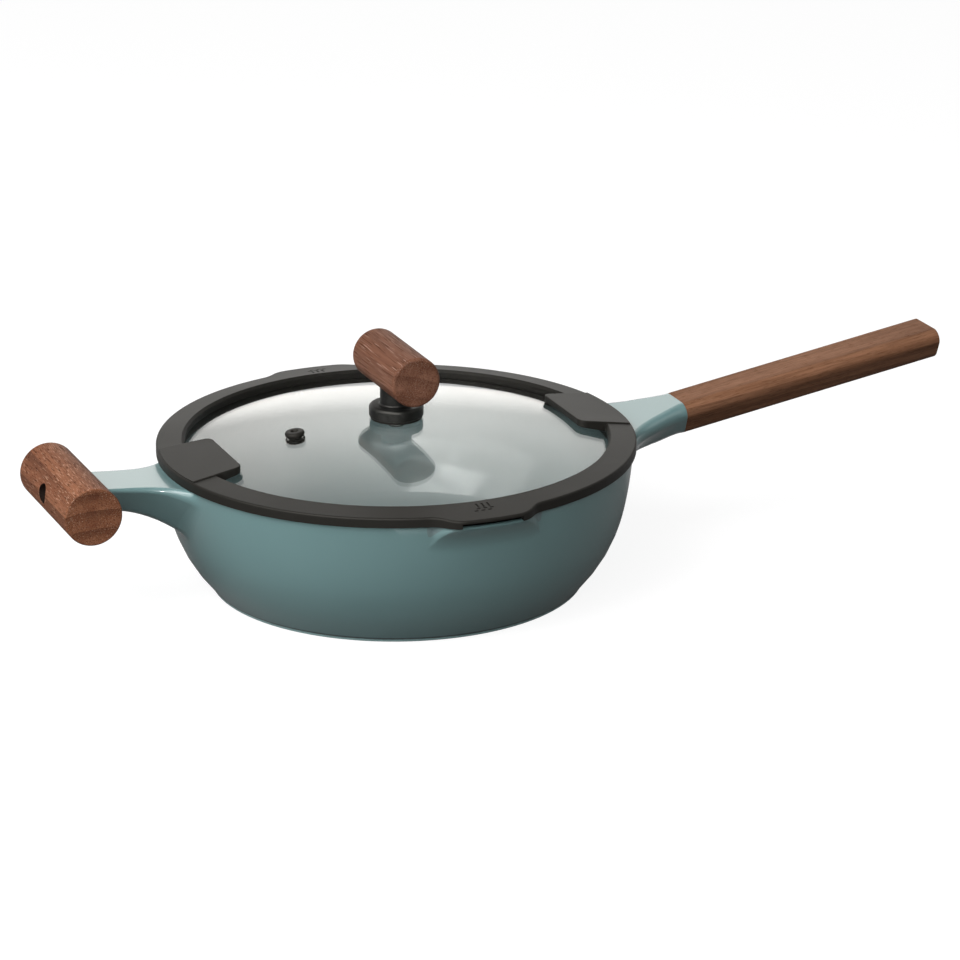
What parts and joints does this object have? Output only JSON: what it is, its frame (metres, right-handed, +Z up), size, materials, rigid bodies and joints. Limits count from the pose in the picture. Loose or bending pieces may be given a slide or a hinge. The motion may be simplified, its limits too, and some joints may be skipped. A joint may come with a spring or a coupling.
{
  "type": "saute pan with lid",
  "caption": "Deep round saute pan with pouring lips, a long wooden handle, a wooden helper handle and a lift-off domed glass lid in a silicone rim that strains.",
  "frame": {"origin": "middle of the pan's flat underside, on the plane that it stands on", "axes": "+Z up, +X along the long handle, the pouring lips on +Y and -Y, the helper handle on -X"},
  "size_m": [0.5869, 0.306, 0.1473],
  "materials": {
    "enamel_teal": "satin ceramic coating on cast aluminium",
    "walnut": "oiled walnut with open pores",
    "black_silicone": "matt moulded silicone",
    "clear_glass": "clear tempered glass",
    "knob_phenolic": "satin black phenolic moulding",
    "base_steel": "circular brushed stainless steel",
    "hardware_steel": "turned stainless steel",
    "insert_brass": "turned brass"
  },
  "bodies": {
    "pan": {"pan_body": "enamel_teal", "induction_base_disc": "base_steel", "long_handle_grip": "walnut", "long_handle_tie_bolt": "hardware_steel", "long_handle_washer": "hardware_steel", "helper_handle_grip": "walnut", "helper_handle_bolt": "hardware_steel", "helper_handle_washer": "hardware_steel"},
    "lid": {"lid_glass": "clear_glass", "lid_silicone_rim": "black_silicone", "steam_vent_grommet": "black_silicone", "lid_knob_base": "knob_phenolic", "lid_knob_upper_gasket": "black_silicone", "lid_knob_grip": "walnut", "lid_knob_threaded_insert": "insert_brass", "lid_knob_screw": "hardware_steel", "lid_knob_lower_washer": "hardware_steel", "lid_knob_lower_gasket": "black_silicone"}
  },
  "joints": [
    {"name": "lid_lift", "type": "slide", "parent": "pan", "child": "lid", "axis": [0, 0, 1], "range_m": [0, 0.12]}
  ]
}
